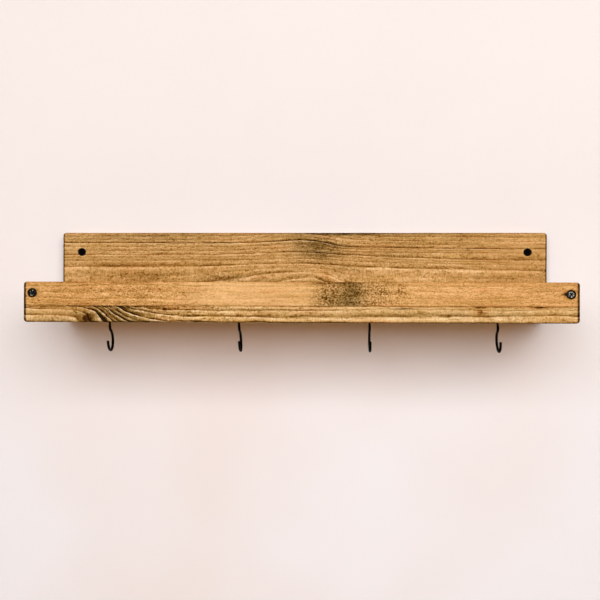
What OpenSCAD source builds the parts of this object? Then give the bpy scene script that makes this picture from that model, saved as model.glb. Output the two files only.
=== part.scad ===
// Wall shelf of planed softwood: a back board, a shelf board with a lip and side rails round it,
// four screw hooks below, and the screws that hold it together and to the wall.
// Seen from the front, X runs right, Y runs into the wall and Z runs up. The origin lies on the
// wall, half way between the two wall screws.

/* [Boards] */
// Length of the back board, the shelf board and the lip
length = 600; // [400:5:1000]
// Thickness of the planed timber
stock = 18; // [16:0.5:24]
// Height of the back board
back_h = 108; // [90:1:180]
// Depth of the shelf board, from the back board to its front edge
shelf_depth = 145; // [115:1:220]
// Height of the lip and the side rails above the shelf board
lip_h = 26; // [20:0.5:45]
// Width of each side rail
rail_w = 19; // [15:0.5:30]

/* [Sanding] */
// Radius of the outer corners, seen from the front
corner_r = 2.5; // [0.5:0.1:5]
// Radius of the eased long edges
edge_r = 1.5; // [0.3:0.1:3]

/* [Hooks] */
// Diameter of the hook wire
hook_wire = 2.9; // [2:0.1:4]
// Radius of the hook's round bowl, to the middle of the wire
bowl_r = 11.8; // [8:0.1:16]
// Length of straight wire between the shelf board and the neck
hook_shank = 7.4; // [6.5:0.1:15]
// Radius of the small bend between shank and bowl
neck_r = 4; // [2:0.1:6]
// How far round the bowl the wire goes past its lowest point
bowl_past_low = 85; // [45:1:120]
// Outer diameter of the hook's thread
hook_thread = 3.5; // [3.2:0.1:4.5]
// Depth of the hook's thread in the shelf board
hook_bite = 14; // [8:0.5:15]
// Length of thread left showing below the shelf board
hook_bare = 4.5; // [0:0.5:6]
// Distance from each end of the shelf to the outer hooks
hook_inset = 75; // [45:1:120]
// Distance of the hooks behind the shelf board's front edge
hook_setback = 75; // [30:1:90]
// How far to the right each hook was set from its mark
hook_shift = [1, 2.3, 4.2, 1.6]; // [-5:0.1:5]
// Sideways lean of each hook, in degrees
hook_lean = [2.3, 4, 1, 3]; // [-5:0.1:5]

/* [Wall screws] */
// Outer diameter of the wall screws
wall_screw = 5; // [4:0.5:6]
// Head diameter of the wall screws
wall_head = 9.4; // [8:0.1:11]
// How far the wall screws reach past the back board
wall_bite = 32; // [20:1:60]
// Distance of the wall screws from each end of the back board
wall_inset = 23.5; // [15:0.5:60]
// Distance of the wall screws below the back board's top edge
wall_drop = 24; // [12:0.5:35]
// Depth of the wall screws' heads below the surface
wall_sink = 0.6; // [0:0.1:1.5]

/* [Lip screws] */
// Outer diameter of the lip screws
lip_screw = 4.2; // [3:0.1:5]
// Head diameter of the lip screws
lip_head = 8.6; // [7:0.1:10]
// How far the lip screws reach into the side rails
lip_bite = 22; // [12:1:30]
// Depth of the lip screws' heads below the surface
lip_sink = 0.4; // [0:0.1:1.5]
// Height of the left and right lip screw above the middle of the lip
lip_rise = [0.9, 0]; // [-2:0.1:2]

/* [Hidden screws] */
// Outer diameter of the joining screws
join_screw = 4; // [3:0.1:5]
// Head diameter of the joining screws
join_head = 8; // [6:0.1:10]
// How far the joining screws reach into an edge or end of a board
edge_bite = 22; // [12:1:30]
// How far the base screws reach up into the side rails
base_bite = 17; // [10:0.5:18]
// Depth of the joining screws' heads below the surface
join_sink = 0.3; // [0:0.1:1.5]
// Distance from each end to the outer board screws
join_inset = 60; // [35:1:120]

/* [Screw heads] */
// Height of the straight rim round a countersunk head
head_rim = 0.4; // [0.2:0.1:0.8]
// Width of the cross recess's wings
recess_w = 1.1; // [0.6:0.1:1.4]
// Depth of the cross recess
recess_deep = 2.2; // [1:0.1:2.5]

/* [Clearances] */
// Gap round a thread in its hole
thread_gap = 0.1; // [0.05:0.01:0.3]
// Gap under a countersunk head along the screw
seat_gap = 0.15; // [0.05:0.01:0.3]
// Gap round the rim of a countersunk head
rim_gap = 0.5; // [0.2:0.05:0.8]
// Room past the point of a screw or hook
point_gap = 0.5; // [0.2:0.1:1]

/* [Hidden] */
$fn = 48;

// Places that follow from the sizes above, measured from the wall and the shelf's underside
front_y = -stock - shelf_depth;
lip_back_y = front_y + stock;
rim_z = stock + lip_h;
wall_screw_z = back_h - wall_drop;
wall_screw_x = length / 2 - wall_inset;
rail_x = (length - rail_w) / 2;
rail_mid_y = (lip_back_y - stock) / 2;
rail_mid_z = stock + lip_h / 2;
hook_y = front_y + hook_setback;
hook_step = (length - 2 * hook_inset) / 3;
join_step = (length - 2 * join_inset) / 3;

// Thread form: pitch and core as shares of the outer diameter, and the width of a crest
pitch_share = 0.45;
core_share = 0.66;
crest_w = 0.3;
// Length of a screw's point, and of its plain shank, as shares of its diameter and length
point_share = 1.4;
plain_share = 0.4;
// Width of the cross recess as a share of the head, and of its foot as a share of its mouth
recess_share = 0.56;
recess_foot = 0.35;
// Chamfer on the cut end of the hook wire: its length and its end radius as a share
wire_end = 0.8;
wire_end_share = 0.55;
// The tight neck bend leaves the wire a little thicker, and runs a few degrees into its neighbours
neck_swell = 0.03;
neck_lap = 3;
// How far a cutting shape stands out of the face it cuts
over = 1;

stain = "#bd8b51";
lip_stain = "#da9f60";
rail_stain = "#c99257";
hook_black = "#17161a";
wall_black = "#121214";
lip_steel = "#4b4c4d";
plain_zinc = "#a9abad";

// What is cut away to round one corner of a rectangle
module corner_waste(r) {
    difference() {
        translate([-over, -over]) square(r + over);
        translate([r, r]) circle(r);
    }
}

// Rectangle with a radius of its own at each corner, counted from the lower left one
module soft_rect(size, radii) {
    difference() {
        square(size);
        if (radii[0] > 0) corner_waste(radii[0]);
        if (radii[1] > 0) translate([size[0], 0]) mirror([1, 0]) corner_waste(radii[1]);
        if (radii[2] > 0) translate(size) rotate(180) corner_waste(radii[2]);
        if (radii[3] > 0) translate([0, size[1]]) mirror([0, 1]) corner_waste(radii[3]);
    }
}

// Board between two opposite corners, with the edges along X, Y and Z rounded as listed
module board(low, high, along_x, along_y, along_z) {
    size = high - low;
    translate(low) intersection() {
        rotate([90, 0, 90]) linear_extrude(size[0]) soft_rect([size[1], size[2]], along_x);
        translate([0, size[1], 0]) rotate([90, 0, 0])
            linear_extrude(size[1]) soft_rect([size[0], size[2]], along_y);
        linear_extrude(size[2]) soft_rect([size[0], size[1]], along_z);
    }
}

// Thread crests from z0 up to z1 in a half outline, as rings of the right pitch
function crests(z0, z1, outer_r, core_r, pitch) =
    let (count = floor((z1 - z0) / pitch), flank = (pitch - crest_w) / 2.6)
    [for (i = [0 : count - 1], p = [
        [core_r, z0 + i * pitch],
        [outer_r, z0 + i * pitch + flank],
        [outer_r, z0 + i * pitch + flank + crest_w],
        [core_r, z0 + i * pitch + 2 * flank + crest_w]
    ]) p];

// Cross recess in a head of the given diameter, sunk along +Z from z = 0
module cross_recess(head_d) {
    mouth = head_d * recess_share;
    intersection() {
        union() {
            for (a = [0, 90]) rotate(a)
                translate([-mouth / 2, -recess_w / 2, -over])
                    cube([mouth, recess_w, recess_deep + over]);
        }
        translate([0, 0, -over]) rotate_extrude()
            polygon([
                [0, 0], [mouth / 2, 0], [mouth / 2, over],
                [mouth / 2 * recess_foot, over + recess_deep], [0, over + recess_deep]
            ]);
    }
}

// Countersunk screw along +Z with the top of its head at z = 0
module screw(size_d, head_d, reach, turn) {
    outer_r = size_d / 2;
    core_r = outer_r * core_share;
    plain_r = (outer_r + core_r) / 2;
    plain_z = reach * plain_share;
    point_z = reach - size_d * point_share;
    rotate(turn) difference() {
        rotate_extrude() polygon(concat(
            [[0, 0], [head_d / 2, 0], [head_d / 2, head_rim],
             [plain_r, head_rim + head_d / 2 - plain_r], [plain_r, plain_z]],
            crests(plain_z, point_z, outer_r, core_r, size_d * pitch_share),
            [[core_r, point_z], [0, reach]]
        ));
        cross_recess(head_d);
    }
}

// Hole for that screw, with the board's face at z = -sink
module screw_hole(size_d, head_d, reach, sink) {
    hole_r = size_d / 2 + thread_gap;
    mouth_r = head_d / 2 + rim_gap;
    cone_z = head_rim - rim_gap + seat_gap;
    end_z = reach + point_gap;
    rotate_extrude() polygon([
        [0, -sink - over], [mouth_r, -sink - over], [mouth_r, cone_z],
        [hole_r, cone_z + mouth_r - hole_r], [hole_r, end_z], [0, end_z]
    ]);
}

// Screws and holes start on the face they enter: through the front, the back or the underside
module from_front(x, y, z, sink) translate([x, y + sink, z]) rotate([-90, 0, 0]) children();
module from_back(x, z, sink) translate([x, -sink, z]) rotate([90, 0, 0]) children();
module from_below(x, y, sink) translate([x, y, sink]) children();

// Side is -1 for left and 1 for right, and place counts from 0 at the left
function side_name(side) = side < 0 ? 0 : 1;
function lip_screw_z(side) = rail_mid_z + lip_rise[side_name(side)];
function join_x(place) = -length / 2 + join_inset + place * join_step;
function hook_x(place) = -length / 2 + hook_inset + place * hook_step + hook_shift[place];

module at_wall_screw(side) from_front(side * wall_screw_x, -stock, wall_screw_z, wall_sink) children();
module at_lip_screw(side) from_front(side * rail_x, front_y, lip_screw_z(side), lip_sink) children();
module at_board_screw(place) from_back(join_x(place), stock / 2, join_sink) children();
module at_rail_screw(side) from_back(side * rail_x, rail_mid_z, join_sink) children();
module at_base_screw(side) from_below(side * rail_x, rail_mid_y, join_sink) children();
module at_hook(place) translate([hook_x(place), hook_y, 0]) rotate([0, -hook_lean[place], 0]) children();

// The whole shelf hangs from its wall screws, which set the height of the origin
module hung() translate([0, 0, -wall_screw_z]) children();

module wall_screw_holes() {
    for (side = [-1, 1]) at_wall_screw(side)
        screw_hole(wall_screw, wall_head, stock + wall_bite, wall_sink);
}

module lip_screw_holes() {
    for (side = [-1, 1]) at_lip_screw(side)
        screw_hole(lip_screw, lip_head, stock + lip_bite, lip_sink);
}

module board_screw_holes() {
    for (place = [0 : 3]) at_board_screw(place)
        screw_hole(join_screw, join_head, stock + edge_bite, join_sink);
}

module rail_screw_holes() {
    for (side = [-1, 1]) at_rail_screw(side)
        screw_hole(join_screw, join_head, stock + edge_bite, join_sink);
}

module base_screw_holes() {
    for (side = [-1, 1]) at_base_screw(side)
        screw_hole(join_screw, join_head, stock + base_bite, join_sink);
}

module hook_holes() {
    for (place = [0 : 3]) at_hook(place)
        translate([0, 0, -over]) cylinder(r = hook_thread / 2 + thread_gap, h = over + hook_bite + point_gap);
}

// Upright board against the wall, with its long front edges eased above the rails only
module back_board() {
    hung() color(stain) difference() {
        board([-length / 2, -stock, 0], [length / 2, 0, back_h],
            [0, edge_r, edge_r, edge_r],
            [corner_r, corner_r, corner_r, corner_r],
            [0, 0, edge_r, edge_r]);
        for (side = [0, 1]) mirror([side, 0, 0])
            translate([-length / 2, -stock, rim_z]) linear_extrude(back_h) corner_waste(edge_r);
        wall_screw_holes();
        board_screw_holes();
        rail_screw_holes();
    }
}

// Board that carries the load, butted against the back board
module shelf_board() {
    hung() color(stain) difference() {
        board([-length / 2, front_y, 0], [length / 2, -stock, stock],
            [edge_r, 0, 0, 0], [corner_r, corner_r, 0, 0], [edge_r, edge_r, 0, 0]);
        board_screw_holes();
        base_screw_holes();
        hook_holes();
    }
}

// Strip that stands on the shelf board, flush with its front edge
module front_lip() {
    hung() color(lip_stain) difference() {
        board([-length / 2, front_y, stock], [length / 2, lip_back_y, rim_z],
            [0, 0, edge_r, edge_r], [0, 0, corner_r, corner_r], [edge_r, edge_r, 0, 0]);
        lip_screw_holes();
    }
}

// Strip along one end of the shelf board, between the lip and the back board
module side_rail(side) {
    hung() color(rail_stain) difference() {
        mirror([side_name(side), 0, 0])
            board([-length / 2, lip_back_y, stock], [-length / 2 + rail_w, -stock, rim_z],
                [0, 0, 0, 0], [0, 0, edge_r, corner_r], [0, 0, 0, 0]);
        lip_screw_holes();
        rail_screw_holes();
        base_screw_holes();
    }
}

// Bends of a hook below its straight shank, in the plane that runs out from the wall
module hook_bends() {
    wire_r = hook_wire / 2;
    neck_up = sqrt(pow(bowl_r + neck_r, 2) - neck_r * neck_r);
    neck_turn = acos(neck_r / (bowl_r + neck_r));
    tip_turn = -90 - bowl_past_low;
    rotate([90, 0, 90]) {
        translate([neck_r, -hook_shank, 0]) rotate(180 - neck_lap)
            rotate_extrude(angle = neck_turn + 2 * neck_lap)
                translate([neck_r, 0]) circle(wire_r + neck_swell);
        translate([0, -hook_shank - neck_up, 0]) rotate(tip_turn) {
            rotate_extrude(angle = neck_turn - tip_turn) translate([bowl_r, 0]) circle(wire_r);
            translate([bowl_r, 0, 0]) rotate([90, 0, 0])
                cylinder(r1 = wire_r, r2 = wire_r * wire_end_share, h = wire_end);
        }
    }
}

// Screw hook that opens to the front, turned up into the shelf board
module screw_hook(place) {
    outer_r = hook_thread / 2;
    core_r = outer_r * core_share;
    point_z = hook_bite - hook_thread * point_share;
    hung() color(hook_black) at_hook(place) {
        rotate_extrude() polygon(concat(
            [[0, -hook_shank], [hook_wire / 2, -hook_shank], [hook_wire / 2, -hook_bare]],
            crests(-hook_bare, point_z, outer_r, core_r, hook_thread * pitch_share),
            [[core_r, point_z], [0, hook_bite]]
        ));
        hook_bends();
    }
}

module lip_screw_piece(side, turn) {
    hung() color(lip_steel) at_lip_screw(side) screw(lip_screw, lip_head, stock + lip_bite, turn);
}

module wall_screw_piece(side, turn) {
    hung() color(wall_black) at_wall_screw(side) screw(wall_screw, wall_head, stock + wall_bite, turn);
}

module board_screw(place) {
    hung() color(plain_zinc) at_board_screw(place)
        screw(join_screw, join_head, stock + edge_bite, 25 + 70 * place);
}

module rail_screw(side) {
    hung() color(plain_zinc) at_rail_screw(side) screw(join_screw, join_head, stock + edge_bite, 20 * side);
}

module base_screw(side) {
    hung() color(plain_zinc) at_base_screw(side) screw(join_screw, join_head, stock + base_bite, 35 * side);
}

back_board();
shelf_board();
front_lip();
side_rail(-1);  // side_rail_left
side_rail(1);  // side_rail_right
screw_hook(0);  // hook_1
screw_hook(1);  // hook_2
screw_hook(2);  // hook_3
screw_hook(3);  // hook_4
lip_screw_piece(-1, 35);  // lip_screw_left
lip_screw_piece(1, 50);  // lip_screw_right
wall_screw_piece(-1, 15);  // wall_screw_left
wall_screw_piece(1, 62);  // wall_screw_right
board_screw(0);  // board_screw_1
board_screw(1);  // board_screw_2
board_screw(2);  // board_screw_3
board_screw(3);  // board_screw_4
rail_screw(-1);  // rail_screw_left
rail_screw(1);  // rail_screw_right
base_screw(-1);  // base_screw_left
base_screw(1);  // base_screw_right
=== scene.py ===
from functools import partial

import bpy
import numpy as np
from mathutils import Matrix, Vector


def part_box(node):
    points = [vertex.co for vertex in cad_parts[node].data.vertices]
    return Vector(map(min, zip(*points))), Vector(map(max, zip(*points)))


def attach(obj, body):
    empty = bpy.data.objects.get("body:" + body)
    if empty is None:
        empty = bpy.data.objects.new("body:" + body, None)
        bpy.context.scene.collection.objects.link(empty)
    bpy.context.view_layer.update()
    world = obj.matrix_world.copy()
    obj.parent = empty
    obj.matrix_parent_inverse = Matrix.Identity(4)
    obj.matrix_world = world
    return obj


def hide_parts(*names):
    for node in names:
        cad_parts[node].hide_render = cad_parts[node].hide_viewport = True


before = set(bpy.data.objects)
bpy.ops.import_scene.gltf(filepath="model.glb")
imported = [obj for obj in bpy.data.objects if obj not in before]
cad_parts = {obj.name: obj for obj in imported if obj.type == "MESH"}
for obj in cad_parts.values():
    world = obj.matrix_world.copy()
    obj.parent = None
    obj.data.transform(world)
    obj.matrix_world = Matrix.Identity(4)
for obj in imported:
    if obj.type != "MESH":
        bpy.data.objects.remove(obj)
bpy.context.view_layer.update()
print("frame loaded:", len(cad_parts), "nodes")

mm = 0.001
mixFactor, mixA, mixB, mixResult = 0, 6, 7, 2  # sockets of a Mix node set to RGBA


# Lowest and highest corner of a CAD node in millimetres, to a ten-thousandth
def nodeBox(node):
    return [np.round(np.array(corner) / mm, 4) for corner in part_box(node)]


# Middle of a node's box on some of its axes
def nodeMiddle(node, axes):
    low, high = nodeBox(node)
    return tuple((low[n] + high[n]) / 2 for n in axes)


# Where a box's face lies that looks to this side of an axis
def faceAt(box, axis, side):
    return box[1 if side > 0 else 0][axis]


def otherAxes(axis):
    return [n for n in range(3) if n != axis]


# sRGB code to linear: below 0.04045 v / 12.92, above it ((v + 0.055) / 1.055) ^ 2.4
def linear(code, alpha=1.0):
    values = np.array([int(code[n:n + 2], 16) for n in (1, 3, 5)]) / 255
    bent = np.where(values <= 0.04045, values / 12.92, ((values + 0.055) / 1.055) ** 2.4)
    return (*bent, alpha)


# Value noise from -1 to 1: random numbers at the corners of cells of this size, blended by 3t^2 - 2t^3
def latticeNoise(points, cell, seed):
    table = np.random.default_rng(seed).uniform(-1, 1, (64, 32, 32))
    place = points / np.array(cell, float)
    base = np.floor(place).astype(int)
    part = place - base
    part = part * part * (3 - 2 * part)
    total = np.zeros(len(points))
    for corner in np.ndindex(2, 2, 2):
        share = np.prod(np.where(corner, part, 1 - part), axis=1)
        at = (base + corner) % table.shape
        total += share * table[at[:, 0], at[:, 1], at[:, 2]]
    return total


# Smooth step 3t^2 - 2t^3 from low to high
def smoothStep(value, low, high):
    t = np.clip((value - low) / (high - low), 0, 1)
    return t * t * (3 - 2 * t)


# Curve through the listed points: cubic Hermite pieces. The slope at a point is the harmonic mean of the
# slopes of the two chords there, and level at a turning point, so that a piece never swings past its ends
def smoothCurve(through, x):
    atX, atZ = np.array(through, float).T
    chord = np.diff(atZ) / np.diff(atX)
    before, after = chord[:-1], chord[1:]
    turning = before * after <= 0
    slope = np.where(turning, 0, 2 * before * after / np.where(turning, 1, before + after))
    slope = np.concatenate([chord[:1], slope, chord[-1:]])
    n = np.clip(np.searchsorted(atX, x) - 1, 0, len(atX) - 2)
    span = atX[n + 1] - atX[n]
    t = np.clip((x - atX[n]) / span, 0, 1)
    return ((2 * t**3 - 3 * t**2 + 1) * atZ[n] + (t**3 - 2 * t**2 + t) * span * slope[n]
            + (3 * t**2 - 2 * t**3) * atZ[n + 1] + (t**3 - t**2) * span * slope[n + 1])


def newObject(name, data):
    made = bpy.data.objects.new(name, data)
    bpy.context.scene.collection.objects.link(made)
    return made


# Object at the origin, with its place in its mesh
def meshObject(name, points, faces, material):
    mesh = bpy.data.meshes.new(name)
    mesh.from_pydata(points * mm, [], faces)
    mesh.materials.append(material)
    return newObject(name, mesh)


# Finished piece, smooth but for edges sharper than sharpDeg, riding on the one body
def makePiece(name, points, faces, material, node, sharpDeg=38):
    piece = meshObject(name, points, faces, material)
    mesh = piece.data
    mesh.polygons.foreach_set("use_smooth", np.ones(len(mesh.polygons), bool))
    mesh.set_sharp_from_angle(angle=np.radians(sharpDeg))
    mesh.update()
    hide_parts(node)
    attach(piece, "root")
    return piece


# Numbers on a mesh's points for its material to read: one per point, or three
def putAttribute(mesh, name, *columns):
    kind, field = ("FLOAT", "value") if len(columns) == 1 else ("FLOAT_VECTOR", "vector")
    flat = np.column_stack(columns).astype(np.float32).ravel()
    mesh.attributes.new(name, kind, "POINT").data.foreach_set(field, flat)


# A node with its settings and its inputs: an input is a value, a socket, or a node's first output
def addNode(tree, kind, inputs=None, **settings):
    node = tree.nodes.new("ShaderNode" + kind)
    for name, value in settings.items():
        setattr(node, name, value)
    for socket, source in (inputs or {}).items():
        if isinstance(source, bpy.types.Node):
            source = source.outputs[0]
        if isinstance(source, bpy.types.NodeSocket):
            tree.links.new(source, node.inputs[socket])
        else:
            node.inputs[socket].default_value = source
    return node


# Inputs of a Map Range node: the range that comes in and the one that goes out
def limits(fromLow, fromHigh, toLow=0.0, toHigh=1.0):
    return {"From Min": fromLow, "From Max": fromHigh, "To Min": toLow, "To Max": toHigh}


# Stops of a ramp node, as (position, colour code) or (position, plain number) pairs
def setRamp(node, stops):
    ramp = node.color_ramp
    while len(ramp.elements) > 1:
        ramp.elements.remove(ramp.elements[-1])
    for n, (position, value) in enumerate(stops):
        element = ramp.elements[0] if n == 0 else ramp.elements.new(position)
        element.position = position
        element.color = linear(value) if isinstance(value, str) else (value, value, value, 1)


# Empty material, and the function that adds nodes to it
def newMaterial(name):
    material = bpy.data.materials.new(name)
    material.use_nodes = True
    material.node_tree.nodes.clear()
    return material, partial(addNode, material.node_tree)


# Camera where the photograph was taken from
cameraLook = {"place": (30.6, -1121.6, -59.4), "turnDeg": 1.775, "rollDeg": -0.139, "lens": 53.42}


def makeCamera(look):
    data = bpy.data.cameras.new("camera")
    data.sensor_width = 36
    data.lens = look["lens"]
    camera = newObject("camera", data)
    level = Matrix.Rotation(np.radians(90), 4, "X")  # a camera looks along -Z, so this lifts it to +Y
    turn = Matrix.Rotation(np.radians(look["turnDeg"]), 4, "Z")
    roll = Matrix.Rotation(np.radians(look["rollDeg"]), 4, "Y")
    camera.matrix_world = Matrix.Translation(Vector(look["place"]) * mm) @ turn @ roll @ level
    bpy.context.scene.camera = camera


makeCamera(cameraLook)
print("camera set")


# Pine, planed and sanded, then stained and waxed. The eye gets thin dark late-wood lines that end sharply,
# short brown fibre dashes where the stain sank in, nearly black end grain and a matt sheen.
pineLook = {
    "ramp": [(0.0, "#2a1402"), (0.16, "#5a3409"), (0.34, "#87551b"), (0.52, "#ad7e42"),
             (0.68, "#cd9c5e"), (0.84, "#ebb97f"), (1.0, "#fdd7a2")],
    "noises": {  # length along the grain and width across it, in mm, then detail
        "ragged": (14, 1.6, 2), "dash": (30, 2.4, 3), "cloud": (85, 9, 2), "fibre": (12, 1.05, 3),
        "pore": (3.6, 1.5, 2), "rub": (1.8, 1.6, 2), "fuzz": (1.5, 3.6, 2), "hue": (60, 5, 1),
        "blot": (16, 3.4, 2), "dot": (1.9, 2.8, 2),
    },
    "late": [(0.0, 0.1), (0.04, 0.0), (0.28, 0.03), (0.62, 0.25), (0.82, 0.85), (0.92, 0.95), (0.97, 0.8),
             (1.0, 0.1)],
    "early": [(0.0, 0.2), (0.05, 1.0), (0.16, 0.75), (0.34, 0.1), (0.60, 0.0), (1.0, 0.0)],
    "wander": 0.20, "brokenLines": limits(0.34, 0.62, 0.28, 1.3), "pores": limits(0.56, 0.66),
    "shadeBreaks": limits(0.3, 0.7, 1.3, 0.6), "dots": limits(0.37, 0.58, -0.68, 0.04),
    "shares": {"fibre": 0.42, "rub": 0.46, "fuzz": 0.34, "blot": 0.34, "pore": 0.24, "cloud": 0.30,
               "late": 0.40, "early": 0.20, "shade": 0.38, "knot": 0.33, "end": 0.60},
    "grainMost": 1.3,
    "hues": [("#d9824a", limits(0.55, 0.75, 0.0, 0.13)), ("#a8a04c", limits(0.45, 0.25, 0.0, 0.24))],
    "warmTint": "#fff1e2", "shadeTint": "#a8bad4", "warmKeepsBrown": 1.5, "dotsTint": 0.3, "shadeTints": 1.2,
    "fibreRelief": 0.6, "bumpMm": 0.10, "bumpStrength": 0.45,
    "roughness": limits(0.3, 0.7, 0.48, 0.66), "endRougher": 0.35, "ior": 1.47, "shine": 0.03,
}


def makePine(name, tone, lines, streak, speckle, tint, strengths):
    look, most = pineLook, pineLook["shares"]
    material, add = newMaterial(name)
    ring, warmth = [add("Attribute", attribute_name=label).outputs["Fac"] for label in ("ring", "warmth")]
    fibre, stain, endsLiftAndHighlight = [add("Attribute", attribute_name=label).outputs["Vector"]
                            for label in ("fibre", "stain", "endsLiftAndHighlight")]
    shade, stipple, knot = add("SeparateXYZ", {0: stain}).outputs
    endGrain, lift, contrast = add("SeparateXYZ", {0: endsLiftAndHighlight}).outputs
    noise = {}
    for label, (length, width, detail) in look["noises"].items():
        cells = (1 / length, 1 / width, 1 / width)
        stretched = add("VectorMath", {0: fibre, 1: cells}, operation="MULTIPLY")
        noise[label] = add("TexNoise", {"Vector": stretched, "Scale": 1.0, "Detail": detail})

    # Ring lines: the ring number with ragged edges, whose fraction goes through a ramp for the dark late wood
    # at a ring's end and one for the pale early wood at its start. Each ring's strength comes from a stepped
    # ramp, and early wood takes that of the ring before
    ragged = add("Math", {0: noise["ragged"], 1: look["wander"], 2: ring}, operation="MULTIPLY_ADD")
    ragged = add("Math", {0: ragged, 1: look["wander"] / 2}, operation="SUBTRACT")
    inRing = add("Math", {0: ragged}, operation="FRACT")
    broken = add("MapRange", {"Value": noise["dash"], **look["brokenLines"]})
    bands = {}
    for band, before in (("late", 0.0), ("early", 1.0)):
        line = add("ValToRGB", {0: inRing})
        setRamp(line, look[band])
        place = add("MapRange", {"Value": ragged, **limits(before, len(strengths) + before)})
        own = add("ValToRGB", {0: place})
        setRamp(own, [(n / len(strengths), share) for n, share in enumerate(strengths)])
        own.color_ramp.interpolation = "CONSTANT"
        for factor in (own, broken, contrast):
            line = add("Math", {0: line, 1: factor}, operation="MULTIPLY")
        bands[band] = line

    # Fibres, speckle and blots, less half of each so that their middle changes nothing, and pores, only the
    # peaks of their noise. All are fainter where the wood is calm
    pore = add("MapRange", {"Value": noise["pore"], **look["pores"]})
    kinds = {"fibre": streak, "rub": speckle, "fuzz": speckle, "blot": 1.0}
    shares = [(noise[kind], most[kind] * strength) for kind, strength in kinds.items()]
    grain = -0.5 * sum(share for _, share in shares)
    for source, share in (*shares, (pore, -most["pore"] * speckle)):
        grain = add("Math", {0: source, 1: share, 2: grain}, operation="MULTIPLY_ADD")
    gain = add("Math", {0: contrast, 1: look["grainMost"]}, operation="MINIMUM")
    grain = add("Math", {0: grain, 1: gain}, operation="MULTIPLY")

    # Shade breaks up along the fibres, and a rough patch took the stain in dots
    shadeFibre = add("MapRange", {"Value": noise["fibre"], **look["shadeBreaks"]})
    shaded = add("Math", {0: shade, 1: shadeFibre}, operation="MULTIPLY")
    dots = add("MapRange", {"Value": noise["dot"], **look["dots"]})
    dots = add("Math", {0: dots, 1: stipple}, operation="MULTIPLY")

    # Lightness is a sum of shares, and one ramp turns it into the stain's colours
    shares = [(noise["cloud"], most["cloud"]), (grain, 1.0), (bands["late"], -most["late"] * lines),
              (bands["early"], most["early"] * lines), (lift, 1.0), (shaded, -most["shade"]), (dots, 1.0),
              (knot, -most["knot"]), (endGrain, -most["end"])]
    level = tone - 0.5 * most["cloud"]
    for source, share in shares:
        level = add("Math", {0: source, 1: share, 2: level}, operation="MULTIPLY_ADD")
    ramp = add("ValToRGB", {0: level})
    setRamp(ramp, look["ramp"])

    # Warm and greenish drift of the stain and the board's own tint, then the orange of warm spots and the
    # olive brown of shaded wood, which stays brown where it is warm
    olive = add("Math", {0: warmth, 1: -look["warmKeepsBrown"]}, operation="MULTIPLY")
    olive = add("Math", {0: stipple, 1: look["dotsTint"], 2: olive}, operation="MULTIPLY_ADD")
    olive = add("Math", {0: shaded, 1: look["shadeTints"], 2: olive}, operation="MULTIPLY_ADD",
                use_clamp=True)
    layers = [(add("MapRange", {"Value": noise["hue"], **reach}), code, "OVERLAY")
              for code, reach in look["hues"]]
    layers += [(1.0, tint, "MULTIPLY"), (warmth, look["warmTint"], "MULTIPLY"),
               (olive, look["shadeTint"], "OVERLAY")]
    colour = ramp.outputs[0]
    for share, code, blend in layers:
        mixed = add("Mix", data_type="RGBA", blend_type=blend,
                    inputs={mixFactor: share, mixA: colour, mixB: linear(code)})
        colour = mixed.outputs[mixResult]

    # Late wood stands a little proud, and end grain is open and dull
    relief = add("Math", {0: noise["fibre"], 1: look["fibreRelief"], 2: bands["late"]},
                 operation="MULTIPLY_ADD")
    bump = add("Bump", {"Strength": look["bumpStrength"], "Distance": look["bumpMm"] * mm, "Height": relief})
    rough = add("MapRange", {"Value": noise["rub"], **look["roughness"]})
    rough = add("Math", {0: endGrain, 1: look["endRougher"], 2: rough}, operation="MULTIPLY_ADD",
                use_clamp=True)
    shader = add("BsdfPrincipled", {"Base Color": colour, "Roughness": rough, "Normal": bump,
                                    "IOR": look["ior"], "Specular IOR Level": look["shine"]})
    add("OutputMaterial", {0: shader})
    return material


# Grid lines of one side of a board: even steps, and named lines that even ones make room for
def gridLines(low, high, step, named):
    named = np.unique(np.round(np.concatenate([[low, high], *named]), 3))
    named = named[(named >= low) & (named <= high)]
    even = np.linspace(low, high, round((high - low) / step) + 1)
    room = np.min(np.abs(even[:, None] - named[None, :]), axis=1)
    return np.unique(np.concatenate([named, even[room > 0.35 * step]]))


# Lines that give a quarter circle even steps: radius times the tangent of 0 to 45 degrees, from its centre
def arcLines(edge, towards, radius):
    return edge - towards * radius * (1 - np.tan(np.radians(np.array([0, 11.25, 22.5, 33.75, 45]))))


# How a hole bends the grid: mm from the wall's line to the rim, mm beyond the rim to the next line and to
# the end of the full circles, and radii to where the grid is square again
holeGrid = {"wall": 0.15, "beside": 0.6, "round": 0.8, "reach": 1.8}


# Lines across a hole: four steps to its rim, and a few beyond it
def holeLines(centre, radius):
    beyond = [radius - holeGrid["wall"], radius + holeGrid["beside"], holeGrid["reach"] * radius]
    out = np.concatenate([radius * np.arange(5) / 4, beyond])
    return np.concatenate([centre - out, centre + out])


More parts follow.
